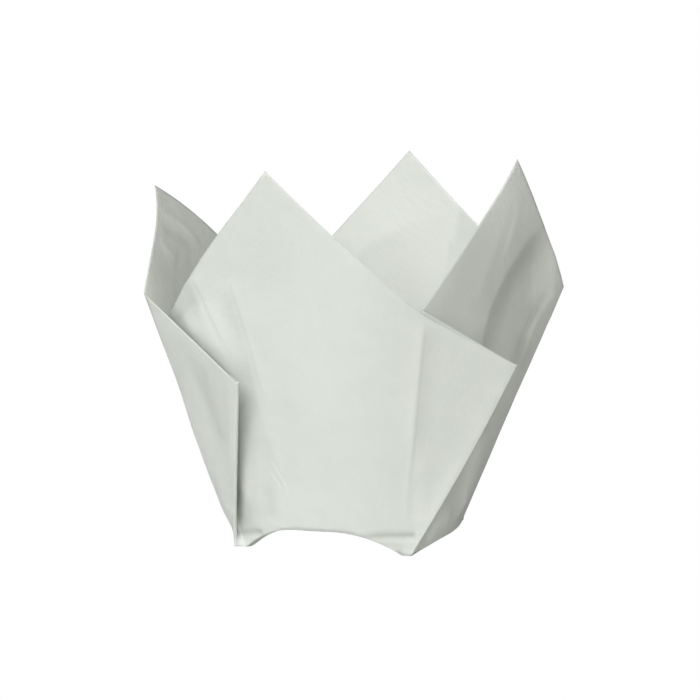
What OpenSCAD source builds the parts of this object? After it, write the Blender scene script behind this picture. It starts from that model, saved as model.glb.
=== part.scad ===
// Tulip cupcake liner: one square sheet of paper pressed over a small round-cornered base.
// The sheet's four corners stand up as pointed petals. The paper left over at the middle of
// each side of the sheet is folded into a pleat of two layers, and all four pleats turn the
// same way round the wall. The cup stands on the four roots of the pleats, and the crease
// round the base arches up between them.
// Every point of the wall lies on a straight line of the flat sheet, from the crease round
// the base up to the sheet's edge, so the heights follow from the sheet's own lengths.
// Millimetres, +Z up, front along -Y. The origin is under the middle of the outline, on the
// surface that the feet stand on. Lists hold front left, front right, back right, back left
// for corners and pleats, and front, right, back, left for panels and petals.

/* [Sheet] */
// Side of the square sheet
sheet_side = 150; // [140:1:165]
// How far the sheet lay off the base when it was pressed: right, back
sheet_shift = [2.6, 1.2]; // [-4:0.2:4]
// Thickness of the paper
paper_t = 0.2; // [0.12:0.02:0.4]

/* [Base] */
// Width of the base across its sides
base_w = 50; // [46:0.5:54]
// How far each pleat's root stands out past the round of the base
root_out = 3.4; // [2:0.1:5]
// How far each side of the base is pressed in from its round
side_press = [0, 1.6, 0, 0.6]; // [0:0.1:3]
// Direction of the front left pleat's root, seen from above
first_root_a = -154; // [-180:1:-90]
// How far each root is turned about the axis from its quarter of the way round
root_turn = [6.5, -1.2, 4.2, 0]; // [-6:0.1:8]
// Height of each side's arch in the base crease
arch_h = [5.2, 1.5, 3, 3]; // [0:0.1:6]
// Length of the crease over which each side's arch rises from its first root
arch_rise = [16, 16, 10, 10]; // [4:0.5:18]
// Length of the crease over which it comes down to its second root
arch_fall = [17.5, 11.5, 10, 10]; // [4:0.5:18]
// Height of the middle of the base above the feet
dish_h = 3.4; // [1:0.1:5]
// Radius within which the base is flat
dish_r = 14; // [6:0.5:18]
// Length of the flat under each root, towards the middle
foot_flat = 2; // [1:0.1:4]

/* [Wall] */
// How far each corner line leans out from the crease to the edge
corner_flare = [17.8, 11.4, 22.6, 29]; // [8:0.2:30]
// Turn of each corner line's top about the axis
corner_turn = [-16.6, -4.2, -8.4, -5.6]; // [-18:0.2:6]
// How far each petal's tip stands out past the side of the base
petal_flare = [20.6, 17.2, 14.2, 25.6]; // [4:0.2:30]
// Turn of each petal's tip about the axis
petal_turn = [-4.2, -11.8, -1.8, -5.6]; // [-16:0.2:8]
// Angle through which each petal's tip curls outwards
petal_curl = [-4, -12, -6, 28]; // [-40:1:40]
// Length up the sheet from the crease to where each petal starts to curl
curl_from = [46, 29, 45, 59]; // [30:1:66]

/* [Pleats] */
// Width of each pleat's outer layer along the sheet's edge
pleat_outer = [39.6, 25.8, 32.4, 26]; // [22:0.2:40]
// Width of each pleat's inner layer along the sheet's edge
pleat_inner = [26.8, 26.8, 23, 23]; // [20:0.2:34]
// Angle at which each pleat stands off the panel that it lies over
pleat_a = [35, 33, 33, 31]; // [22:1:50]
// Space inside each corner, between its outer and its inner crease
corner_gap = [4.2, 2, 3.6, 3.4]; // [2:0.2:7]
// Radius of the bend at each pleat's free edge
fold_r = 0.7; // [0.4:0.1:0.8]
// Radius of the bend at each inner crease
crease_r = 0.5; // [0.3:0.1:0.7]
// Width of the small lobe of paper at each root
lobe_w = [3.6, 2.8, 2.8, 2.8]; // [2.4:0.2:5]
// How far each small lobe stands out from the crease
lobe_out = [1.8, 1.4, 1.4, 1.4]; // [1.2:0.2:3]
// How far each pleat's free edge bows out between the root and its top
fold_bow = [0, 0.7, 1, 1]; // [0:0.1:3]

/* [Hidden] */

root_r = base_w / 2 + root_out;
corners = [0 : 3];
// Number of strips across a panel, across one layer of a pleat and round a bend
panel_n = 18;
layer_n = 5;
bend_n = 6;
// Where the rows of the wall lie, as shares of the way up each line of the sheet
wall_rows = [0, 0.02, 0.045, 0.08, 0.13, 0.2, 0.29, 0.39, 0.5, 0.6, 0.7, 0.8, 0.9, 1];
// The base rings from the middle outwards, as shares of the crease's size
dish_ring = dish_r / root_r;
foot_ring = 1 - foot_flat / root_r;
base_rings = [dish_ring / 2, dish_ring, (dish_ring + foot_ring) / 2, foot_ring];

function unit(v) = v / norm(v);
function level(v) = unit([v.x, v.y, 0]);
function polar(r, a, z = 0) = [r * cos(a), r * sin(a), z];
function flat_of(v) = [v.x, v.y];
function turned(v, a) = [v.x * cos(a) - v.y * sin(a), v.x * sin(a) + v.y * cos(a)];
function square_to(v, d) = unit(v - (v * d) * d);
function next(k) = (k + 1) % 4;
function mix(a, b, w) = a + (b - a) * w;
// A smooth curve's weights through its start, middle and end
function weights(u) = [(1 - u) * (1 - 2 * u), 4 * u * (1 - u), u * (2 * u - 1)];
function through(p, u) = let (w = weights(u)) w[0] * p[0] + w[1] * p[1] + w[2] * p[2];

// The roots of the pleats and the sheet beyond them
root_a = [for (k = corners) first_root_a + 90 * k];
root = [for (k = corners) polar(root_r, root_a[k] + root_turn[k])];
root_off = [for (k = corners) root[k] - polar(root_r, root_a[k])];
edge_at = [for (k = corners) sheet_side / 2 + sheet_shift * flat_of(polar(1, root_a[k]))];
fold_len = [for (k = corners) edge_at[k] - root_r];
outer_a = [for (k = corners) atan2(pleat_outer[k], fold_len[k])];
inner_a = [for (k = corners) atan2(pleat_inner[k], fold_len[k])];

// The point at radius r and angle a that a line of the sheet reaches from root k
function reach(k, r, a, len) =
    let (p = polar(r, a), d = norm(flat_of(p - root[k])))
    [p.x, p.y, sqrt(len * len - d * d)];

// Tops of the outer creases, of the inner creases and of the pleats' free edges
outer_top = [for (k = corners)
    reach(k, root_r + corner_flare[k], root_a[k] + corner_turn[k], norm([fold_len[k], pleat_outer[k]]))];
inner_top = [for (k = corners)
    reach(k, root_r + corner_flare[k] - corner_gap[k], root_a[k] + corner_turn[k],
        norm([fold_len[k], pleat_inner[k]]))];
fold_top = [for (k = corners)
    let (
        d = unit(outer_top[k] - root[k]),
        along = square_to(outer_top[next(k)] - outer_top[k], d),
        out = cross(along, d),
        pleat_dir = cos(pleat_a[k]) * along + sin(pleat_a[k]) * out
    )
    root[k] + fold_len[k] * (cos(outer_a[k]) * d + sin(outer_a[k]) * pleat_dir)];

// The same three lines start side by side round the small lobe at the root
lobe_a = root_a + root_turn;
outer_root = [for (k = corners) root[k] - polar(lobe_w[k] / 2, lobe_a[k] + 90)];
inner_root = [for (k = corners) root[k] + polar(lobe_w[k] / 2, lobe_a[k] + 90)];
fold_root = [for (k = corners) root[k] + polar(lobe_out[k], lobe_a[k])];

function outer_line(k, s) = mix(outer_root[k], outer_top[k], s);
function inner_line(k, s) = mix(inner_root[k], inner_top[k], s);
function fold_line(k, s) =
    mix(fold_root[k], fold_top[k], s)
    + fold_bow[k] * 4 * s * (1 - s) * unit(fold_top[k] - outer_top[k]);

// A point of the level bend of radius r that turns at p from direction d to direction e.
// Its share w of the way round starts on the side that d comes from: 1 for left, -1 for right.
function bend(p, d, e, r, side, w) =
    let (tip = unit(d - e), a = atan2(norm(cross(d, e)), d * e) * (0.5 - w))
    p + r * ((cos(a) - 1) * tip + sin(a) * side * [tip.y, -tip.x, 0]);
function fold_bend(k, s, w) =
    let (p = fold_line(k, s))
    bend(p, level(p - outer_line(k, s)), level(inner_line(k, s) - p), fold_r, 1, w);
function inner_bend(k, s, w) =
    let (p = inner_line(k, s))
    bend(p, level(p - fold_line(k, s)), level(panel_line(k, 1 / panel_n, s) - panel_line(k, 0, s)),
        crease_r, -1, w);

// The base's side between two roots is an arc through them and the middle of the side
side_half = root_r * cos(45);
side_mid = [for (k = corners) base_w / 2 - side_press[k]];
side_sag = [for (k = corners) side_mid[k] - side_half];
side_r = [for (k = corners) (side_half * side_half + side_sag[k] * side_sag[k]) / (2 * side_sag[k])];
side_a = [for (k = corners) asin(side_half / side_r[k])];
side_len = [for (k = corners) 2 * side_r[k] * side_a[k] * PI / 180];
// A point of that arc: x outwards across the side, y along it
function side_arc(k, u) = [side_mid[k] - side_r[k], 0] + flat_of(polar(side_r[k], side_a[k] * (2 * u - 1)));
function side_point(k, u) =
    let (
        p = turned(side_arc(k, u), root_a[k] + 45) + flat_of(mix(root_off[k], root_off[next(k)], u)),
        rise = min(1, u * side_len[k] / arch_rise[k], (1 - u) * side_len[k] / arch_fall[k])
    )
    [p.x, p.y, arch_h[k] * rise * (2 - rise)];

// Length of the sheet's line u of panel k, from the base crease to the sheet's edge
function line_len(k, u) =
    let (
        p = turned(side_arc(k, u), 45),
        half = side_mid[k] * cos(45),
        mid_a = atan2(edge_at[next(k)] - half, edge_at[k] - half),
        a = through([inner_a[k], mid_a, 90 - outer_a[next(k)]], u)
    )
    min((edge_at[k] - p.x) / cos(a), (edge_at[next(k)] - p.y) / sin(a));

// A line of length len from p along d, which curls through angle c towards e past its point at from
function curled(p, d, e, s, len, c, from) =
    c == 0 || s <= from ? p + s * d :
    let (r = (len - from) / (c * PI / 180), a = c * (s - from) / (len - from))
    p + (from + r * sin(a)) * d + r * (1 - cos(a)) * square_to(e, d);

// Direction of each petal's middle line, so that its tip lands at the petal's flare and turn
function mid_dir(k, plan, tries) =
    let (
        p = side_point(k, 0.5), len = line_len(k, 0.5), out = polar(1, root_a[k] + 45),
        d = unit([plan.x, plan.y, sqrt(len * len - plan * plan)]),
        want = flat_of(polar(side_mid[k] + petal_flare[k], root_a[k] + 45 + petal_turn[k])),
        miss = want - flat_of(curled(p, d, out, len, len, petal_curl[k], curl_from[k]))
    )
    tries == 0 ? d : mid_dir(k, plan + miss, tries - 1);
petal_dir = [for (k = corners) mid_dir(k, flat_of(polar(petal_flare[k], root_a[k] + 45)), 6)];

function panel_line(k, u, s) =
    let (
        d = unit(through([unit(inner_top[k] - root[k]), petal_dir[k],
            unit(outer_top[next(k)] - root[next(k)])], u)),
        len = line_len(k, u), w = weights(u)[1]
    )
    curled(side_point(k, u), d, polar(1, root_a[k] + 45), s * len, len,
        petal_curl[k] * w * (2 - w) * (len - curl_from[k]) / (line_len(k, 0.5) - curl_from[k]), curl_from[k]);
// The panel starts where the inner bend ends and stops at the next outer crease
function panel_point(k, u, s) =
    panel_line(k, u, s)
    + (1 - u) * (inner_bend(k, s, 1) - panel_line(k, 0, s))
    + u * (outer_line(next(k), s) - panel_line(k, 1, s));

// One row right round the wall: for each corner the outer layer, the free edge, the inner
// layer and the inner crease, and then the panel up to the next corner
function corner_row(k, s) = [
    for (i = [0 : layer_n - 1]) mix(outer_line(k, s), fold_bend(k, s, 0), i / layer_n),
    for (i = [0 : bend_n]) fold_bend(k, s, i / bend_n),
    for (i = [1 : layer_n - 1]) mix(fold_bend(k, s, 1), inner_bend(k, s, 0), i / layer_n),
    for (i = [0 : bend_n - 2]) inner_bend(k, s, i / (bend_n - 1))
];
function wall_row(s) = [
    for (k = corners) each concat(
        corner_row(k, s),
        [for (i = [0 : panel_n - 1]) panel_point(k, i / panel_n, s)])
];

// The base keeps the crease's height over the feet's length and then goes to its middle's
function base_point(p, c) =
    let (w = max(0, min(1, (foot_ring - c) / (foot_ring - dish_ring))))
    [p.x * c, p.y * c, mix(p.z, dish_h, w)];

crease_row = wall_row(0);
rows = [
    for (c = base_rings) [for (p = crease_row) base_point(p, c)],
    for (s = wall_rows) wall_row(s)
];
row_n = len(rows);
col_n = len(crease_row);
middle = [0, 0, dish_h];

// The sheet has its inside and its outside half a thickness to each side of the rows.
// Under a root the base is level, so there the outside lies straight below.
function at(j, i) = j < 0 ? middle : rows[min(j, row_n - 1)][(i + col_n) % col_n];
crease_j = len(base_rings);
function outward(j, i) =
    let (out = unit(cross(at(j, i + 1) - at(j, i - 1), at(j + 1, i) - at(j - 1, i))))
    at(crease_j, i).z > 0 || j < crease_j - 1 || j > crease_j ? out :
    j < crease_j ? [0, 0, -1] : unit([out.x, out.y, 0]) + [0, 0, -1];
outside = [for (j = [0 : row_n - 1]) for (i = [0 : col_n - 1]) at(j, i) + outward(j, i) * paper_t / 2];
inside = [for (j = [0 : row_n - 1]) for (i = [0 : col_n - 1]) at(j, i) - outward(j, i) * paper_t / 2];
all_points = concat(outside, inside, [middle - [0, 0, paper_t / 2], middle + [0, 0, paper_t / 2]]);

// The origin goes under the middle of the outline, at the height of the feet
xs = [for (p = all_points) p.x];
ys = [for (p = all_points) p.y];
origin = [(min(xs) + max(xs)) / 2, (min(ys) + max(ys)) / 2, -paper_t / 2];

function id(layer, j, i) = (layer * row_n + j) * col_n + i % col_n;
outside_faces = [
    for (j = [0 : row_n - 2]) for (i = [0 : col_n - 1]) each [
        [id(0, j, i), id(0, j + 1, i), id(0, j + 1, i + 1)],
        [id(0, j, i), id(0, j + 1, i + 1), id(0, j, i + 1)]],
    for (i = [0 : col_n - 1]) [2 * row_n * col_n, id(0, 0, i), id(0, 0, i + 1)]
];
inside_faces = [
    for (j = [0 : row_n - 2]) for (i = [0 : col_n - 1]) each [
        [id(1, j, i), id(1, j + 1, i + 1), id(1, j + 1, i)],
        [id(1, j, i), id(1, j, i + 1), id(1, j + 1, i + 1)]],
    for (i = [0 : col_n - 1]) [2 * row_n * col_n + 1, id(1, 0, i + 1), id(1, 0, i)]
];
edge_faces = [
    for (i = [0 : col_n - 1]) each [
        [id(0, row_n - 1, i), id(1, row_n - 1, i), id(1, row_n - 1, i + 1)],
        [id(0, row_n - 1, i), id(1, row_n - 1, i + 1), id(0, row_n - 1, i + 1)]]
];

module liner() {
    color([0.9, 0.92, 0.89])
        translate(-origin)
            polyhedron(all_points, concat(outside_faces, inside_faces, edge_faces), 4);
}

liner();
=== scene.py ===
import math
import bmesh
import bpy
import numpy as np
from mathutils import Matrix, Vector, noise


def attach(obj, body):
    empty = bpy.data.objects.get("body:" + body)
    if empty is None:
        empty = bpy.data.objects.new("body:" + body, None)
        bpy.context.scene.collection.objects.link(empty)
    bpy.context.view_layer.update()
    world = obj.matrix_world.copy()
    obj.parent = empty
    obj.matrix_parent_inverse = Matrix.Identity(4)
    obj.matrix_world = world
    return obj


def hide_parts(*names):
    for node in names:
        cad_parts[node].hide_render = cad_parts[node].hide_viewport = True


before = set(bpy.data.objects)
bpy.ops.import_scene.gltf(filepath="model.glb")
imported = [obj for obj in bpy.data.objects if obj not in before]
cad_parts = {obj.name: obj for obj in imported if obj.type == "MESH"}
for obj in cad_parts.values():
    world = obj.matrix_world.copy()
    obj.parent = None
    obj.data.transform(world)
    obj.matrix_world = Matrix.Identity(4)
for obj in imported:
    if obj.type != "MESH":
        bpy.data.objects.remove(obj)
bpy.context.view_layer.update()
print("the packed liner is loaded")

# The photograph's viewpoint, in millimetres: a long lens a little above the table
shot = {
    "aim": (-1.954, -4.374, 41.06),
    "elevation": 6.08,
    "distance": 478,
    "lens": 110.2,
}


def makeCamera(shot):
    e = math.radians(shot["elevation"])
    aim = Vector(shot["aim"]) / 1000
    back = Vector((0, -math.cos(e), math.sin(e)))
    data = bpy.data.cameras.new("camera")
    data.lens = shot["lens"]
    data.clip_start = 0.01
    camera = bpy.data.objects.new("camera", data)
    camera.location = aim + back * shot["distance"] / 1000
    camera.rotation_euler = back.to_track_quat("Z", "Y").to_euler()
    bpy.context.scene.collection.objects.link(camera)
    bpy.context.scene.camera = camera


makeCamera(shot)
print("camera placed")

# Shader maths as plain expressions: a Wire is one output of a node


class Wire:
    def __init__(self, tree, socket):
        self.tree = tree
        self.socket = socket

    def math(self, operation, *values):
        node = self.tree.node("ShaderNodeMath", {"operation": operation}, *values)
        return Wire(self.tree, node.outputs[0])

    def __add__(self, other): return self.math("ADD", self, other)
    def __radd__(self, other): return self.math("ADD", other, self)
    def __sub__(self, other): return self.math("SUBTRACT", self, other)
    def __rsub__(self, other): return self.math("SUBTRACT", other, self)
    def __mul__(self, other): return self.math("MULTIPLY", self, other)
    def __rmul__(self, other): return self.math("MULTIPLY", other, self)
    def clamped(self): return self.math("MINIMUM", self.math("MAXIMUM", self, 0.0), 1.0)


class Shader:
    def __init__(self, material):
        material.use_nodes = True
        self.tree = material.node_tree
        self.tree.nodes.clear()

    def node(self, kind, settings, *values, **named):
        made = self.tree.nodes.new(kind)
        for name, value in settings.items():
            setattr(made, name, value)
        pairs = list(enumerate(values)) + [(name.replace("_", " "), v) for name, v in named.items()]
        for key, value in pairs:
            self.put(made.inputs[key], value)
        return made

    def put(self, socket, value):
        if isinstance(value, Wire):
            self.tree.links.new(value.socket, socket)
        elif value is not None:
            socket.default_value = value

    def wire(self, node, output=0):
        return Wire(self, node.outputs[output])

    def noise(self, place, scale, detail=2.0, roughness=0.5, stretch=None):
        if stretch:
            place = self.wire(self.node("ShaderNodeMapping", {}, Vector=place, Scale=stretch))
        return self.wire(self.node("ShaderNodeTexNoise", {}, Vector=place, Scale=scale,
                                   Detail=detail, Roughness=roughness))

    def ramp(self, value, low, high):
        smooth = {"interpolation_type": "SMOOTHSTEP"}
        return self.wire(self.node("ShaderNodeMapRange", smooth, value, low, high, 0.0, 1.0))

    def mixColour(self, factor, a, b):
        made = self.node("ShaderNodeMix", {"data_type": "RGBA"})
        self.put(made.inputs[0], factor)
        self.put(made.inputs[6], a)
        self.put(made.inputs[7], b)
        return Wire(self, made.outputs[2])


# The liner's folded form, in millimetres and degrees. Corners and pleats run front left,
# front right, back right, back left; panels and petals run front, right, back, left.
liner = {
    "side": 150,
    "shift": (2.6, 1.2),
    "thickness": 0.06,
    "middle": (1.516, 4.975),
    "baseWidth": 50,
    "rootOut": 3.4,
    "sidePress": (0, 1.6, 0, 0.6),
    "firstRoot": -154,
    "rootTurn": (6.5, -1.2, 4.2, 0),
    "archHeight": (5.2, 1.5, 3, 3),
    "archRise": (16, 16, 10, 10),
    "archFall": (17.5, 11.5, 10, 10),
    "dishHeight": 4.2,
    "dishRadius": 20,
    "footFlat": 1,
    "cornerFlare": (17.8, 11.4, 22.6, 29),
    "cornerTurn": (-16.6, -4.2, -8.4, -5.6),
    "petalFlare": (20.6, 17.2, 14.2, 25.6),
    "petalTurn": (-4.2, -11.8, -1.8, -5.6),
    "petalCurl": (-4, -12, -6, 28),
    "curlFrom": (46, 29, 45, 59),
    "pleatOuter": (39.6, 25.8, 32.4, 26),
    "pleatInner": (26.8, 26.8, 23, 23),
    "pleatAngle": (35, 33, 33, 31),
    "cornerGap": (4.2, 2, 3.6, 3.4),
    "foldRadius": (0.4, 0.35, 0.5, 0.5),
    "creaseRadius": 0.5,
    "foldShare": 0.3,
    "lobeWidth": (3.6, 2.8, 2.8, 2.8),
    "lobeOut": (1.8, 1.4, 1.4, 1.4),
    "foldBow": (0, 0.7, 1, 1),
}

layerSteps = [0, 0.03, 0.08, 0.16, 0.26, 0.37, 0.48, 0.59, 0.70, 0.80, 0.89, 0.95]
bendSteps = 8
panelSteps = ([0, 0.008, 0.020, 0.036, 0.055, 0.076] + [0.1 + 0.016 * i for i in range(51)]
              + [0.918, 0.938, 0.958, 0.976, 0.990])
wallSteps = ([0, 0.004, 0.010, 0.018, 0.028, 0.038, 0.048, 0.058, 0.068, 0.079, 0.090, 0.102, 0.115]
             + [0.13 + 0.87 * i / 70 for i in range(71)])
baseSteps = [0, 0.2, 0.4, 0.52, 0.6, 0.68, 0.76, 0.84, 0.90, 0.945, 0.97, 0.985, 0.995]


def polar(r, a, z=0.0):
    return Vector((r * math.cos(math.radians(a)), r * math.sin(math.radians(a)), z))


def turned(v, a):
    c, s = math.cos(math.radians(a)), math.sin(math.radians(a))
    return Vector((v.x * c - v.y * s, v.x * s + v.y * c, v.z))


def level(v):
    return Vector((v.x, v.y, 0)).normalized()


def squareTo(v, d):
    return (v - v.dot(d) * d).normalized()


def mix(a, b, w):
    return a + (b - a) * w


def through(points, u):  # a smooth curve through a start, a middle and an end
    return (points[0] * (1 - u) * (1 - 2 * u) + points[1] * 4 * u * (1 - u)
            + points[2] * u * (2 * u - 1))


# Each corner's three lines, as (foot, top, flat top): the outer crease, the pleat's free edge
# and the inner crease. Flat places count from the root along the sheet.
def setOutCorners(c):
    corners = []
    for k in range(4):
        a = c["firstRoot"] + 90 * k
        rootRadius = c["baseWidth"] / 2 + c["rootOut"]
        towards = polar(1, a)
        edge = c["side"] / 2 + c["shift"][0] * towards.x + c["shift"][1] * towards.y
        root = polar(rootRadius, a + c["rootTurn"][k])
        corners.append({"angle": a, "root": root, "rootShift": root - polar(rootRadius, a),
                        "edge": edge, "length": edge - rootRadius, "radius": rootRadius})
    for k, corner in enumerate(corners):
        layers = (("outer", c["pleatOuter"][k], 0),
                  ("inner", c["pleatInner"][k], c["cornerGap"][k]))
        for name, width, gap in layers:
            away = corner["radius"] + c["cornerFlare"][k] - gap
            top = polar(away, corner["angle"] + c["cornerTurn"][k])
            run = math.hypot(corner["length"], width)
            top.z = math.sqrt(run ** 2 - (top - corner["root"]).length ** 2)
            corner[name + "Top"] = top
            corner[name + "Angle"] = math.atan2(width, corner["length"])
    for k, corner in enumerate(corners):
        after = corners[(k + 1) % 4]
        up = (corner["outerTop"] - corner["root"]).normalized()
        along = squareTo(after["outerTop"] - corner["outerTop"], up)
        out = along.cross(up)
        lean = math.radians(c["pleatAngle"][k])
        over = math.cos(lean) * along + math.sin(lean) * out
        corner["foldTop"] = corner["root"] + corner["length"] * (
            math.cos(corner["outerAngle"]) * up + math.sin(corner["outerAngle"]) * over)
        rootAngle = corner["angle"] + c["rootTurn"][k]
        beside = polar(c["lobeWidth"][k] / 2, rootAngle + 90)
        corner["outerFoot"] = corner["root"] - beside
        corner["innerFoot"] = corner["root"] + beside
        corner["foldFoot"] = corner["root"] + polar(c["lobeOut"][k], rootAngle)
    return corners


def setOutPanels(c, corners):
    panels = []
    for k, corner in enumerate(corners):
        after = corners[(k + 1) % 4]
        half = corner["radius"] * math.cos(math.radians(45))
        mid = c["baseWidth"] / 2 - c["sidePress"][k]
        sag = mid - half
        radius = (half ** 2 + sag ** 2) / (2 * sag)
        spread = math.degrees(math.asin(half / radius))
        panel = {"mid": mid, "radius": radius, "spread": spread,
                 "crease": 2 * radius * math.radians(spread),
                 "corner": corner, "after": after, "out": polar(1, corner["angle"] + 45),
                 "curl": math.radians(c["petalCurl"][k]), "curlFrom": c["curlFrom"][k],
                 "arch": (c["archHeight"][k], c["archRise"][k], c["archFall"][k])}
        halfway = mid * math.cos(math.radians(45))
        midAngle = math.atan2(after["edge"] - halfway, corner["edge"] - halfway)
        panel["angles"] = (corner["innerAngle"], midAngle, math.pi / 2 - after["outerAngle"])
        middle = panelLine(panel, 0.5, Vector((0, 0, 1)))
        want = polar(mid + c["petalFlare"][k], corner["angle"] + 45 + c["petalTurn"][k])
        plan = polar(c["petalFlare"][k], corner["angle"] + 45)
        panel["rest"] = middle["length"] - panel["curlFrom"]
        middle["turn"] = panel["curl"] / panel["rest"]
        for _ in range(8):  # the line's lean settles until the curled tip is over its place
            rise = math.sqrt(middle["length"] ** 2 - plan.length ** 2)
            middle["way"] = Vector((plan.x, plan.y, rise)).normalized()
            tip = onLine(middle, 1)
            plan += Vector((want.x - tip.x, want.y - tip.y, 0))
        panel["ways"] = ((corner["innerTop"] - corner["root"]).normalized(), middle["way"],
                         (after["outerTop"] - after["root"]).normalized())
        panels.append(panel)
    return panels


def panelLine(panel, u, way=None):  # a straight line of the flat sheet, and its place in the wall
    shift = Vector((panel["mid"] - panel["radius"], 0, 0))
    arc = polar(panel["radius"], panel["spread"] * (2 * u - 1)) + shift
    height, rise, fall = panel["arch"]
    w = min(1, u * panel["crease"] / rise, (1 - u) * panel["crease"] / fall)
    start = turned(arc, panel["corner"]["angle"] + 45)
    start += mix(panel["corner"]["rootShift"], panel["after"]["rootShift"], u)
    start.z = height * w * (2 - w)
    flat = turned(arc, 45)
    a = through(panel["angles"], u)
    length = min((panel["corner"]["edge"] - flat.x) / math.cos(a),
                 (panel["after"]["edge"] - flat.y) / math.sin(a))
    if way is None:
        way = through(panel["ways"], u).normalized()
    w = 4 * u * (1 - u)
    turn = panel["curl"] / panel.get("rest", 1) * w * (2 - w)
    return {"start": start, "way": way, "length": length, "turn": turn,
            "curlFrom": panel["curlFrom"], "out": panel["out"],
            "flat": flat, "flatWay": Vector((math.cos(a), math.sin(a), 0))}


def onLine(line, s):
    run, turn = s * line["length"], line["turn"]
    if abs(turn) < 1e-9 or run <= line["curlFrom"]:
        return line["start"] + run * line["way"]
    a = turn * (run - line["curlFrom"])
    return (line["start"] + (line["curlFrom"] + math.sin(a) / turn) * line["way"]
            + (1 - math.cos(a)) / turn * squareTo(line["out"], line["way"]))


def bend(p, d, e, r, side, w):  # a rounded turn at p from direction d to direction e
    tip = (d - e).normalized()
    a = math.atan2(d.cross(e).length, d.dot(e)) * (0.5 - w)
    return p + r * ((math.cos(a) - 1) * tip + math.sin(a) * side * Vector((tip.y, -tip.x, 0)))


def wallRow(c, corners, panels, lines, s):  # one row right round the wall: places and flat places
    places, flats = [], []

    def put(place, flat, angle):
        places.append(place)
        flats.append(turned(flat, angle))

    for k, corner in enumerate(corners):
        a, away = corner["angle"], corner["radius"] + s * corner["length"]
        outer = mix(corner["outerFoot"], corner["outerTop"], s)
        inner = mix(corner["innerFoot"], corner["innerTop"], s)
        fold = mix(corner["foldFoot"], corner["foldTop"], s)
        across = (corner["foldTop"] - corner["outerTop"]).normalized()
        fold += c["foldBow"][k] * 4 * s * (1 - s) * across
        first, second = onLine(lines[k][0], s), onLine(lines[k][4], s)

        def foldBend(w):
            return bend(fold, level(fold - outer), level(inner - fold), c["foldRadius"][k], 1, w)

        def innerBend(w):
            return bend(inner, level(inner - fold), level(second - first), c["creaseRadius"], -1, w)

        outerWidth, innerWidth = s * c["pleatOuter"][k], s * c["pleatInner"][k]
        half = min(c["foldRadius"][k] * math.pi / 2, c["foldShare"] * outerWidth)
        for w in layerSteps:
            put(mix(outer, foldBend(0), w), Vector((away, mix(-outerWidth, -half, w), 0)), a)
        for i in range(bendSteps + 1):
            put(foldBend(i / bendSteps), Vector((away, half * (2 * i / bendSteps - 1), 0)), a)
        for w in reversed(layerSteps[1:]):
            put(mix(innerBend(0), foldBend(1), w), Vector((away, mix(innerWidth, half, w), 0)), a)
        for i in range(bendSteps - 2):
            put(innerBend(i / (bendSteps - 2)), Vector((away, innerWidth, 0)), a)
        startShift = innerBend(1) - first
        after = corners[(k + 1) % 4]
        endShift = mix(after["outerFoot"], after["outerTop"], s) - onLine(lines[k][-1], s)
        for u, line in zip(panelSteps, lines[k]):
            place = onLine(line, s) + (1 - u) * startShift + u * endShift
            put(place, line["flat"] + s * line["length"] * line["flatWay"], a)
    return places, flats


def foldSheet(c):
    corners = setOutCorners(c)
    panels = setOutPanels(c, corners)
    lines = [[panelLine(panel, u) for u in panelSteps + [1]] for panel in panels]
    crease, creaseFlat = wallRow(c, corners, panels, lines, 0)
    places, flats = [], []
    footRing = 1 - c["footFlat"] / corners[0]["radius"]
    dishRing = c["dishRadius"] / corners[0]["radius"]
    for share in baseSteps:
        w = max(0, min(1, (footRing - share) / (footRing - dishRing)))
        w = w * w * (3 - 2 * w)
        places.append([Vector((p.x * share, p.y * share, mix(p.z, c["dishHeight"], w)))
                       for p in crease])
        flats.append([p * share for p in creaseFlat])
    for s in wallSteps:
        row, flat = wallRow(c, corners, panels, lines, s)
        places.append(row)
        flats.append(flat)
    places = np.array([[tuple(p) for p in row] for row in places])
    flats = np.array([[tuple(p)[:2] for p in row] for row in flats])
    return places, flats


places, flats = foldSheet(liner)
rowCount, columnCount = places.shape[:2]
print("sheet folded:", rowCount, "rows of", columnCount)

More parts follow.
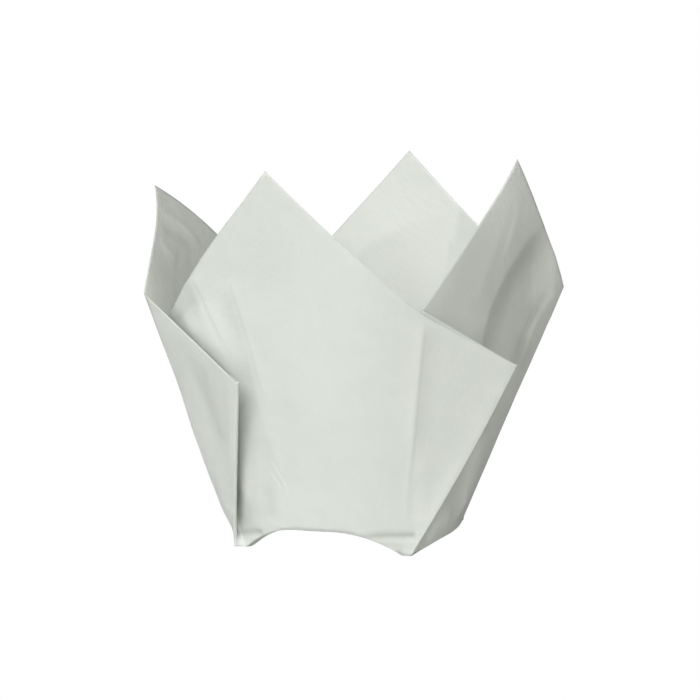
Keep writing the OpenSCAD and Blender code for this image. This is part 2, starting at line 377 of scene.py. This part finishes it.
# Creases, dents and swells pressed into the paper, on the flat sheet in millimetres from the
# middle of the base, with painted light and painted shade laid along them and in soft patches.
# Height is outward; left and right are the widths of the two slopes, sag hollows the right one,
# and the last pair of values paints light (positive) and shade (negative) into the paper's
# colour on the left and on the right, standing in for light and shade that the lamps don't give.
creases = [
    # right petal: a long ridge with a hollow between it and the back corner, with painted shade and
    # painted light in soft patches over it, painted highlight and shade along its ridges, and
    # painted light on the strip beside the front right pleat
    {"path": [(96, -11), (90.3, -17.6), (87.0, -20.6), (82.7, -23.8), (79.2, -26.1),
              (76.7, -26.7), (71.5, -28.6), (66.8, -28.7), (61.5, -27.5), (52, -25)],
     "height": -0.5, "left": 20, "right": 30, "sag": 1.1, "fade": (15, 14),
     "paintedShading": (-0.12, -0.65), "paintedShadingWidth": (10, 13)},
    {"path": [(95, -38), (76, -42), (66, -46), (58, -40)],
     "paintedShading": (-0.5, -0.5), "paintedShadingWidth": (24, 24), "fade": (22, 10)},
    {"path": [(98, -10), (90, -6), (83.5, -3.5), (76, -3)],
     "paintedShading": (1.0, 1.0), "paintedShadingWidth": (10, 10), "fade": (14, 7)},
    {"path": [(70, -3), (62, -3)],
     "paintedShading": (-0.5, -0.5), "paintedShadingWidth": (9, 9), "fade": (3, 1)},
    {"path": [(89.6, -14.9), (83.4, -19.5), (78.1, -22.0), (73.7, -23.1), (69.8, -22.1)],
     "paintedShading": (-0.10, -0.10), "paintedShadingWidth": (5, 5), "fade": (4, 6)},
    {"path": [(94.6, -32.8), (87.7, -33.0), (81.7, -33.6), (75.6, -34.6), (69.3, -35.8)],
     "height": 0.2, "left": 7, "right": 7, "fade": (8, 8)},
    {"path": [(97.0, -28.9), (91.4, -28.6), (85.6, -29.2), (80.2, -30.0)],
     "height": 0.15, "left": 2.5, "right": 2.5, "fade": (5, 8),
     "paintedShading": (0.25, 0.25), "paintedShadingWidth": (1.6, 1.6)},
    {"path": [(82.7, 2.0), (78.0, 0.4), (72.1, -0.8), (66.6, -1.1), (59, -1.4)],
     "height": 0.3, "left": 3, "right": 3, "fade": (2, 10),
     "paintedShading": (0.35, 0.35), "paintedShadingWidth": (1.6, 2.2)},
    {"path": [(81.3, -1.2), (76.0, -2.8), (70.4, -4.0), (64.6, -5.2)],
     "height": -0.25, "left": 3, "right": 2.5, "fade": (2, 10),
     "paintedShading": (-0.25, -0.25), "paintedShadingWidth": (2, 1.6)},
    {"path": [(45.7, -11.4), (38.6, -11.0), (31.7, -8.7), (26.9, -5.3)],
     "height": 0.4, "left": 5, "right": 6, "fade": (6, 3),
     "paintedShading": (1.0, 1.0), "paintedShadingWidth": (9, 14)},
    {"path": [(16.6, -22.2), (21.3, -20.4), (24.2, -14.9)],
     "height": 0.5, "left": 4, "right": 4, "fade": (1, 1), "paintedShading": (0.8, 0.8), "paintedShadingWidth": (4, 4)},
    # front petal: two creases that run down from its left edge, with painted shade and painted
    # highlight along them, and painted light where the front left pleat's shadow falls under its
    # top edge and beside its free edge
    {"path": [(-48.8, -58.1), (-44.0, -57.8), (-39.7, -56.2), (-32.7, -53.4), (-30.5, -51.9)],
     "paintedShading": (0.6, 0.6), "paintedShadingWidth": (4, 4), "fade": (3, 4)},
    {"path": [(-31, -51), (-29.6, -44), (-28, -37), (-26.4, -28.1), (-27.2, -19)],
     "paintedShading": (0.9, 0.9), "paintedShadingWidth": (3, 3), "fade": (3, 1)},
    {"path": [(-46.8, -67.8), (-41.7, -61.7), (-37.3, -56.4), (-32.6, -52.7)],
     "height": 0.5, "left": 6, "right": 11, "fade": (1, 9),
     "paintedShading": (-0.22, 0.12), "paintedShadingWidth": (6, 4)},
    {"path": [(-36.9, -71.1), (-32.5, -62.9), (-28.2, -55.0), (-23.6, -43.9), (-18.9, -34.3),
              (-16.8, -30.9)],
     "height": 0.35, "left": 6, "right": 8, "fade": (2, 12),
     "paintedShading": (-0.16, 0.10), "paintedShadingWidth": (4, 3)},
    {"path": [(-47, -60), (-41.5, -55), (-34.5, -51.5), (-29.8, -47), (-27.4, -39.6),
              (-26.6, -32.5), (-26.4, -25.3), (-26.6, -17)],
     "height": 1.7, "left": 16, "right": 11, "swell": True, "fade": (5, 14)},
    {"path": [(-25.9, -49.6), (-24.5, -43.4), (-23.6, -36.4), (-23.2, -29.0), (-23.4, -21.5)],
     "paintedShading": (0.1, 0.1), "paintedShadingWidth": (3.5, 3), "fade": (6, 6)},
    {"path": [(-22.2, -29.5), (-20.6, -26.0), (-19.2, -20.9)],
     "height": -0.2, "left": 3, "right": 4, "fade": (3, 3),
     "paintedShading": (-0.2, -0.2), "paintedShadingWidth": (2.5, 3)},
    {"path": [(10.0, -44.9), (9.9, -40.9), (9.8, -36.7)],
     "height": -0.15, "left": 6, "right": 2, "fade": (4, 4),
     "paintedShading": (-0.08, -0.08), "paintedShadingWidth": (4, 2)},
    {"path": [(9.8, -77.5), (10.6, -62.0), (11.4, -46.5), (12.2, -30.0)],
     "height": 0.25, "left": 3, "right": 2.5, "fade": (3, 6)},
    {"path": [(9.8, -78), (10.2, -69.9), (10.7, -58.9), (11.2, -49)],
     "paintedShading": (0.2, -0.16), "paintedShadingWidth": (7, 5), "fade": (3, 6)},
    # back petal: a soft fold below its upper left, with painted light over the petal's inside and
    # painted shade below the fold
    {"path": [(15.4, 88.5), (16.0, 81.9), (20.8, 83.6), (25.5, 84.3), (30.0, 84.2), (34.4, 83.8),
              (39.7, 82.7)],
     "height": -0.25, "left": 6, "right": 8, "fade": (3, 12),
     "paintedShading": (0.10, -0.10), "paintedShadingWidth": (10, 7)},
    {"path": [(26.2, 74.6), (27.1, 69.7), (28.2, 65.5)],
     "height": 0.15, "left": 5, "right": 5, "fade": (4, 3)},
    {"path": [(10, 60), (30, 62), (45, 58)],
     "paintedShading": (0.75, 0.75), "paintedShadingWidth": (30, 30), "fade": (0.1, 0.1)},
    {"path": [(15, 100), (45, 82)],
     "paintedShading": (0.6, 0.6), "paintedShadingWidth": (26, 26), "fade": (0.1, 0.1)},
    # left petal: streaks across it, with painted light and painted shade along them
    {"path": [(-92.5, 28.1), (-88.9, 30.7), (-84.8, 33.0), (-80.3, 34.9)],
     "height": -0.28, "left": 3, "right": 4, "fade": (4, 5),
     "paintedShading": (0.25, 0.25), "paintedShadingWidth": (2.2, 2.6)},
    {"path": [(-89.9, 24.2), (-85.7, 27.5), (-81.9, 30.5), (-78.5, 32.4)],
     "height": 0.22, "left": 3, "right": 4, "fade": (4, 5),
     "paintedShading": (-0.2, -0.2), "paintedShadingWidth": (2.2, 2.2)},
    {"path": [(-87.9, 19.3), (-85.0, 20.2), (-80.9, 21.7)],
     "height": -0.3, "left": 4, "right": 4, "fade": (3, 3),
     "paintedShading": (0.2, 0.2), "paintedShadingWidth": (3, 3)},
    # front left pleat: a dent darkened with painted shade, a strip beside its free edge paled with
    # painted highlight, a swell under it paled with painted light, and painted shade over the front
    # petal's tip
    {"path": [(-69.4, -12.7), (-64.4, -13.9), (-58.4, -15.3), (-52.9, -16.4), (-49.1, -17.9)],
     "height": -0.45, "left": 6, "right": 6, "fade": (8, 5),
     "paintedShading": (-0.28, -0.28), "paintedShadingWidth": (4, 4)},
    {"path": [(-64.5, -29.5), (-59.0, -27.4), (-51.8, -23.6), (-44.6, -20.2)],
     "paintedShading": (0.35, 0.35), "paintedShadingWidth": (2.2, 2.2), "fade": (2, 6)},
    {"path": [(-77, -4), (-74.5, -11.5), (-71.5, -20)],
     "paintedShading": (0.2, 0.2), "paintedShadingWidth": (4, 4), "fade": (3, 4)},
    {"path": [(-62, -3), (-50.1, -6.1), (-45.0, -7.9), (-40.0, -9.1), (-30, -11.6)],
     "height": 0.55, "left": 14, "right": 14, "swell": True, "fade": (22, 5),
     "paintedShading": (0.4, 0.4), "paintedShadingWidth": (10, 10)},
    {"path": [(-32, -99), (-27, -85), (-22, -70)],
     "paintedShading": (-0.22, -0.22), "paintedShadingWidth": (22, 22), "fade": (0.1, 20)},
    # front right pleat: painted light towards its free edge
    {"path": [(29.8, -66.3), (25.8, -57.7), (21.4, -48.1), (17.0, -37.9), (14.6, -31.6)],
     "height": -0.3, "left": 7, "right": 3, "fade": (4, 4),
     "paintedShading": (0.1, 0.1), "paintedShadingWidth": (6, 3)},
    {"path": [(12.6, -48.3), (13.5, -42.7), (14.1, -37.1), (14.1, -32.7)],
     "height": 0.2, "left": 2.5, "right": 2.5, "fade": (3, 1),
     "paintedShading": (0.22, 0.22), "paintedShadingWidth": (2, 2)},
    # the feet: a crease darkened with painted shade, a small facet below it paled with painted
    # light, and a spot of painted shade under the front right foot
    {"path": [(-28.6, -14.6), (-27.3, -15.2), (-25.5, -15.8), (-23.1, -16.6), (-20.4, -16.9)],
     "height": -0.5, "left": 1.6, "right": 1.4, "fade": (0.5, 2),
     "paintedShading": (-0.7, -0.7), "paintedShadingWidth": (1.0, 1.3)},
    {"path": [(-27.0, -13.1), (-26.0, -13.3), (-24.6, -13.8)],
     "paintedShading": (0.6, 0.6), "paintedShadingWidth": (1.5, 1.5), "fade": (0.2, 0.5)},
    {"path": [(1.6, -25.4), (5.0, -26.8), (7.8, -28.1), (10.6, -29.3), (13.4, -30.5)],
     "height": -0.45, "left": 1.5, "right": 1.5, "fade": (3, 0.3),
     "paintedShading": (-0.7, -0.7), "paintedShadingWidth": (1.1, 0.8)},
    {"path": [(5.9, -25.9), (9.3, -26.7), (12.3, -27.6), (12.9, -28.8)],
     "paintedShading": (-0.15, -0.15), "paintedShadingWidth": (1.2, 1.4), "fade": (2, 0.3)},
    {"path": [(11.0, -25.6), (12.0, -25.8), (12.8, -25.4)],
     "paintedShading": (-0.9, -0.9), "paintedShadingWidth": (0.9, 0.9), "fade": (0.3, 0.3)},
]

relief = {
    "waveHeight": 0.22,
    "waveSize": 17,
    "waveSeed": 3.7,
    "rippleHeight": 0.05,
    "rippleSize": 5.5,
    "rippleSeed": 9.1,
    "paintedShadingBlend": 1.6,
    "creaseStart": 0.02,
    "waveStart": 0.06,
    "layerFree": 0.5,
    "layerRun": 0.45,
    "panelRun": 0.12,
    "sharpness": 1.6,
}

# How much of the relief each column takes: none where two layers lie close together
layerShare = [1 - min(1, max(0, (w - relief["layerFree"]) / relief["layerRun"])) ** 2
              for w in layerSteps]
foldShare = [0.0] * (2 * bendSteps + len(layerSteps) - 2)
panelShare = [min(1, u / relief["panelRun"]) for u in panelSteps]
columnShare = np.array((layerShare + foldShare + panelShare) * 4)


def besideCrease(crease, flat):  # distance from a crease, its side, and its strength there
    path = [np.array(p, float) for p in crease["path"]]
    near = np.full(flat.shape[:2], 1e9)
    side = np.zeros(flat.shape[:2])
    along = np.zeros(flat.shape[:2])
    whole = 0.0
    for a, b in zip(path[:-1], path[1:]):
        size = np.linalg.norm(b - a)
        way = (b - a) / size
        rel = flat - a
        t = np.clip(rel @ way, 0, size)
        distance = np.linalg.norm(rel - t[..., None] * way, axis=-1)
        nearer = distance < near
        near = np.where(nearer, distance, near)
        side = np.where(nearer, way[0] * rel[..., 1] - way[1] * rel[..., 0], side)
        along = np.where(nearer, whole + t, along)
        whole += size
    start, end = crease["fade"]
    ends = np.clip(along / start, 0, 1) * np.clip((whole - along) / end, 0, 1)
    return near, side > 0, ends * (2 - ends)


def creaseHeight(crease, flat):
    near, isLeft, ends = besideCrease(crease, flat)
    v = np.clip(1 - near / np.where(isLeft, crease["left"], crease["right"]), 0, 1)
    slope = v * v * (3 - 2 * v) if crease.get("swell") else v ** relief["sharpness"]
    hollow = crease.get("sag", 0) * 4 * v * (1 - v) * ~isLeft
    return (crease["height"] * slope - hollow) * ends


# painted light where the value is positive and painted shade where it is negative, beside a crease
def paintedCreaseShading(crease, flat):
    near, isLeft, ends = besideCrease(crease, flat)
    v = np.clip(1 - near / np.where(isLeft, *crease["paintedShadingWidth"]), 0, 1)
    leftShare = np.clip(0.5 + np.where(isLeft, near, -near) / relief["paintedShadingBlend"], 0, 1)
    return mix(crease["paintedShading"][1], crease["paintedShading"][0], leftShare) * v * v * (3 - 2 * v) * ends


def outwardNormals(places):
    across = np.roll(places, -1, axis=1) - np.roll(places, 1, axis=1)
    up = np.empty_like(places)
    up[1:-1] = places[2:] - places[:-2]
    up[0], up[-1] = places[1] - places[0], places[-1] - places[-2]
    normal = np.cross(across, up)
    return normal / np.maximum(np.linalg.norm(normal, axis=-1, keepdims=True), 1e-9)


def waves(flat, size, seed):
    return np.array([[noise.noise(Vector((x / size, y / size, seed))) for x, y in row]
                     for row in flat])


def pressRelief(places, flats):
    waving = relief["waveHeight"] * waves(flats, relief["waveSize"], relief["waveSeed"])
    waving += relief["rippleHeight"] * waves(flats, relief["rippleSize"], relief["rippleSeed"])
    height = sum(creaseHeight(crease, flats) for crease in creases if "height" in crease)
    nearBase = [0.0] * len(baseSteps)
    height *= np.array(nearBase + [min(1, s / relief["creaseStart"]) for s in wallSteps])[:, None]
    waving *= np.array(nearBase + [min(1, s / relief["waveStart"]) for s in wallSteps])[:, None]
    return places + outwardNormals(places) * ((height + waving) * columnShare[None, :])[..., None]


pressed = pressRelief(places, flats)
# painted light (positive) and painted shade (negative) at each place on the sheet
paintedShadingGrid = np.clip(sum(paintedCreaseShading(crease, flats) for crease in creases if "paintedShading" in crease), -1, 1)
print("creases pressed:", len(creases))


def sheetSpot(flat):  # a place on the flat sheet as a share of its sides
    turn = math.radians(-liner["firstRoot"])
    x, y = flat[0] - liner["shift"][0], flat[1] - liner["shift"][1]
    return Vector((0.5 + (x * math.cos(turn) - y * math.sin(turn)) / liner["side"],
                   0.5 + (x * math.sin(turn) + y * math.cos(turn)) / liner["side"], 0))


# Sharp lines of painted shade and painted highlight where a crease was pressed, and a line of
# painted shadow under the front arch, on the flat sheet: a line of painted shade has a negative
# value
paintedShadingLines = [
    {"path": [(-46.1, -68.3), (-40.5, -62.7), (-35.9, -57.7), (-31.4, -53.9)],
     "width": 0.8, "paintedShading": -0.32, "fade": (0.5, 7)},
    {"path": [(-36.6, -71.4), (-32.0, -63.3), (-25.2, -50.5), (-20.6, -39.6)],
     "width": 0.8, "paintedShading": -0.2, "fade": (1, 14)},
    {"path": [(-21.2, -35.8), (-15.9, -29.6)],
     "width": 0.55, "paintedShading": 0.5, "fade": (2, 2)},
    {"path": [(-21.4, -33.4), (-17.5, -29.2)],
     "width": 0.55, "paintedShading": 0.5, "fade": (2, 2)},
    {"path": [(10.1, -77), (11.0, -59.5), (11.6, -47.5), (11.9, -38)],
     "width": 0.7, "paintedShading": -0.22, "fade": (3, 8)},
    {"path": [(-19, -18.3), (-12.5, -22.3), (-7.2, -24.3), (0, -26), (4, -26.3)],
     "width": 0.7, "paintedShading": -0.6, "fade": (3, 3)},
    {"path": [(82.8, 2.4), (78.1, 0.3), (72.2, -0.8), (62.3, -0.8)],
     "width": 0.9, "paintedShading": 0.4, "fade": (1, 8)},
    {"path": [(81.4, -0.8), (76.2, -1.9), (70.7, -2.9), (65.0, -3.1)],
     "width": 0.8, "paintedShading": -0.35, "fade": (1, 8)},
    {"path": [(-92.2, 28.2), (-88.6, 30.5), (-84.6, 32.6), (-80.0, 34.8)],
     "width": 0.8, "paintedShading": 0.3, "fade": (4, 4)},
]


# a sharp line of painted shade where its value is negative and painted highlight where it is
# positive
def paintedLineShading(paper, sheetMap, line):
    def along(place, start, way):  # how far along a way and beside it a place is
        subtract, dot = {"operation": "SUBTRACT"}, {"operation": "DOT_PRODUCT"}
        rel = paper.wire(paper.node("ShaderNodeVectorMath", subtract, place, tuple(start)))
        return [paper.wire(paper.node("ShaderNodeVectorMath", dot, rel, d), 1)
                for d in (tuple(way), (-way.y, way.x, 0))]

    spots = [sheetSpot(p) for p in line["path"]]
    nearest = None
    for a, b in zip(spots[:-1], spots[1:]):
        run, across = along(sheetMap, a, (b - a).normalized())
        past = run - run.math("MINIMUM", run.math("MAXIMUM", run, 0.0), (b - a).length)
        away = across.math("SQRT", across * across + past * past)
        nearest = away if nearest is None else nearest.math("MINIMUM", nearest, away)
    run = along(sheetMap, spots[0], (spots[-1] - spots[0]).normalized())[0] * liner["side"]
    whole = (spots[-1] - spots[0]).length * liner["side"]
    start, end = line["fade"]
    ends = (run * (1 / start)).clamped() * ((whole - run) * (1 / end)).clamped()
    return (1.0 - paper.ramp(nearest * liner["side"], 0.0, line["width"])) * ends * line["paintedShading"]


# Greaseproof paper: cool white, matt, with cloudy fibre and a little light coming through, and with
# painted light and painted shade mixed into its colour
paperLook = {
    "colour": (0.672, 0.702, 0.660, 1),
    "cloudColour": (0.655, 0.690, 0.646, 1),
    "fibreColour": (0.692, 0.716, 0.680, 1),
    # the colours of painted light and painted shade
    "paintedLightColour": (0.790, 0.815, 0.775, 1),
    "paintedShadeColour": (0.425, 0.443, 0.416, 1),
    "throughColour": (0.66, 0.68, 0.63, 1),
    "through": 0.22,
    "cloudScale": 26,
    "cloudDetail": (4.0, 0.55),
    "cloudRange": (0.40, 0.62),
    "cloudHeight": 1.6,
    "crinkleScale": 48,
    "crinkleDetail": (5.0, 0.62, (1.0, 0.55, 1.0)),
    "crinkleHeight": 5.0,
    "fibreScale": 420,
    "fibreDetail": (3.0, 0.6, (1.0, 0.45, 1.0)),
    "fibreRange": (0.50, 0.72),
    "fibreShare": 0.5,
    "fibreHeight": 0.6,
    "bumpHeight": 0.00006,
    "bumpStrength": 0.6,
    "roughness": 0.62,
    "roughnessSpread": 0.2,
    "ior": 1.46,
    "specular": 0.35,
}


def makePaper(look):
    material = bpy.data.materials.new("greaseproofPaper")
    paper = Shader(material)
    sheetMap = paper.wire(paper.node("ShaderNodeUVMap", {"uv_map": "flatSheet"}))
    cloud = paper.noise(sheetMap, look["cloudScale"], *look["cloudDetail"])
    fibre = paper.noise(sheetMap, look["fibreScale"], *look["fibreDetail"])
    clouded = paper.ramp(cloud, *look["cloudRange"])
    fibred = paper.ramp(fibre, *look["fibreRange"]) * look["fibreShare"]
    colour = paper.mixColour(clouded, look["colour"], look["cloudColour"])
    colour = paper.mixColour(fibred, colour, look["fibreColour"])
    # the painted light and shade laid on the sheet, with the painted crease lines added
    paintedShading = paper.wire(paper.node("ShaderNodeAttribute", {"attribute_name": "paintedShading"}), 2)
    for line in paintedShadingLines:
        paintedShading = paintedShading + paintedLineShading(paper, sheetMap, line)
    # painted light pales the paper and painted shade darkens it
    colour = paper.mixColour(paintedShading.clamped(), colour, look["paintedLightColour"])
    colour = paper.mixColour((0 - paintedShading).clamped(), colour, look["paintedShadeColour"])
    crinkle = paper.noise(sheetMap, look["crinkleScale"], *look["crinkleDetail"])
    height = fibre * look["fibreHeight"] + cloud * look["cloudHeight"]
    height = height + crinkle * look["crinkleHeight"]
    bump = paper.wire(paper.node("ShaderNodeBump", {}, Strength=look["bumpStrength"],
                                 Distance=look["bumpHeight"], Height=height))
    body = paper.node("ShaderNodeBsdfPrincipled", {}, Base_Color=colour, Normal=bump,
                      Roughness=look["roughness"] + (cloud - 0.5) * look["roughnessSpread"])
    body.inputs["IOR"].default_value = look["ior"]
    body.inputs["Specular IOR Level"].default_value = look["specular"]
    glow = paper.node("ShaderNodeBsdfTranslucent", {}, Color=look["throughColour"])
    both = paper.node("ShaderNodeMixShader", {}, look["through"], paper.wire(body),
                      paper.wire(glow))
    paper.node("ShaderNodeOutputMaterial", {}, Surface=paper.wire(both))
    return material


paperMaterial = makePaper(paperLook)
print("paper mixed")


def makeLiner(c, pressed, flats, paintedShadingGrid):
    rim, flatRim, paintedShadingRim = (np.concatenate([grid, grid[:, :1]], axis=1)
                             for grid in (pressed, flats, paintedShadingGrid))
    bm = bmesh.new()
    bmesh.ops.create_grid(bm, x_segments=columnCount, y_segments=rowCount - 1, size=1)
    uv = bm.loops.layers.uv.new("flatSheet")
    # each corner of the sheet carries its painted light and shade
    paintedShading = bm.verts.layers.float.new("paintedShading")
    middle = Vector((c["middle"][0], c["middle"][1], -c["thickness"] / 2))
    spot = {}
    for v in bm.verts:
        i = round((v.co.x + 1) / 2 * columnCount)
        j = round((v.co.y + 1) / 2 * (rowCount - 1))
        v.co = (Vector(rim[j, i]) - middle) / 1000
        v[paintedShading] = paintedShadingRim[j, i]
        spot[v] = sheetSpot(flatRim[j, i]).xy
    for face in bm.faces:
        face.smooth = True
        for loop in face.loops:
            loop[uv].uv = spot[loop.vert]
    bmesh.ops.remove_doubles(bm, verts=bm.verts, dist=0.000002)  # closes the seam and the middle
    bmesh.ops.recalc_face_normals(bm, faces=bm.faces)
    underside = min(bm.faces, key=lambda f: f.calc_center_median().xy.length)
    if underside.normal.z > 0:
        bmesh.ops.reverse_faces(bm, faces=bm.faces)
    mesh = bpy.data.meshes.new("paperLiner")
    bm.to_mesh(mesh)
    bm.free()
    mesh.materials.append(paperMaterial)
    piece = bpy.data.objects.new("paperLiner", mesh)
    bpy.context.scene.collection.objects.link(piece)
    wall = piece.modifiers.new("thickness", "SOLIDIFY")
    wall.thickness = c["thickness"] / 1000
    wall.offset = 0
    return piece


paperLiner = makeLiner(liner, pressed, flats, paintedShadingGrid)
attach(paperLiner, "root")
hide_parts("liner")
print("liner made")

# Plain white table and soft studio light, mostly from beside the camera
studio = {
    "floorSize": 3.0,
    "floorColour": (0.8, 0.8, 0.8, 1),
    "floorRoughness": 0.9,
    "airLight": 0.15,
    "airColour": (1.0, 0.98, 0.94, 1),
    "keyPlace": (-0.20, -1.11, 0.69),
    "keySize": 1.0,
    "keyPower": 19.5,
    "fillPlace": (-1.22, 0.0, 0.48),
    "fillSize": 1.0,
    "fillPower": 4.8,
    "sidePlace": (1.22, -0.10, 0.48),
    "sideSize": 1.0,
    "sidePower": 2.5,
    "sideColour": (1.0, 0.96, 0.91),
    "lightsAim": (0, 0, 0.04),
}


def makeFloor(studio):
    bm = bmesh.new()
    bmesh.ops.create_grid(bm, x_segments=1, y_segments=1, size=studio["floorSize"] / 2)
    mesh = bpy.data.meshes.new("table")
    bm.to_mesh(mesh)
    bm.free()
    material = bpy.data.materials.new("tableWhite")
    table = Shader(material)
    body = table.wire(table.node("ShaderNodeBsdfPrincipled", {}, Base_Color=studio["floorColour"],
                                 Roughness=studio["floorRoughness"]))
    seen = table.wire(table.node("ShaderNodeLightPath", {}))
    white = table.wire(table.node("ShaderNodeEmission", {}, Strength=1.0))
    both = table.wire(table.node("ShaderNodeMixShader", {}, seen, body, white))
    table.node("ShaderNodeOutputMaterial", {}, Surface=both)
    mesh.materials.append(material)
    floor = bpy.data.objects.new("table", mesh)
    bpy.context.scene.collection.objects.link(floor)


def makeLight(name, place, size, power, colour=(1, 1, 1)):
    data = bpy.data.lights.new(name, "AREA")
    data.shape = "DISK"
    data.size = size
    data.energy = power
    data.color = colour
    lamp = bpy.data.objects.new(name, data)
    lamp.location = place
    back = Vector(place) - Vector(studio["lightsAim"])
    lamp.rotation_euler = back.to_track_quat("Z", "Y").to_euler()
    bpy.context.scene.collection.objects.link(lamp)


def makeAir(studio):
    world = bpy.data.worlds.new("air")
    bpy.context.scene.world = world
    air = Shader(world)
    seen = air.wire(air.node("ShaderNodeLightPath", {}))
    dim = air.wire(air.node("ShaderNodeBackground", {}, studio["airColour"], studio["airLight"]))
    white = air.wire(air.node("ShaderNodeBackground", {}, (1, 1, 1, 1), 1.0))
    both = air.wire(air.node("ShaderNodeMixShader", {}, seen, dim, white))
    air.node("ShaderNodeOutputWorld", {}, Surface=both)


makeFloor(studio)
makeLight("keyLight", studio["keyPlace"], studio["keySize"], studio["keyPower"])
makeLight("fillLight", studio["fillPlace"], studio["fillSize"], studio["fillPower"])
makeLight("sideLight", studio["sidePlace"], studio["sideSize"], studio["sidePower"],
          studio["sideColour"])
makeAir(studio)
bpy.context.scene.view_settings.view_transform = "Standard"
print("studio lit")

print("scene finished")
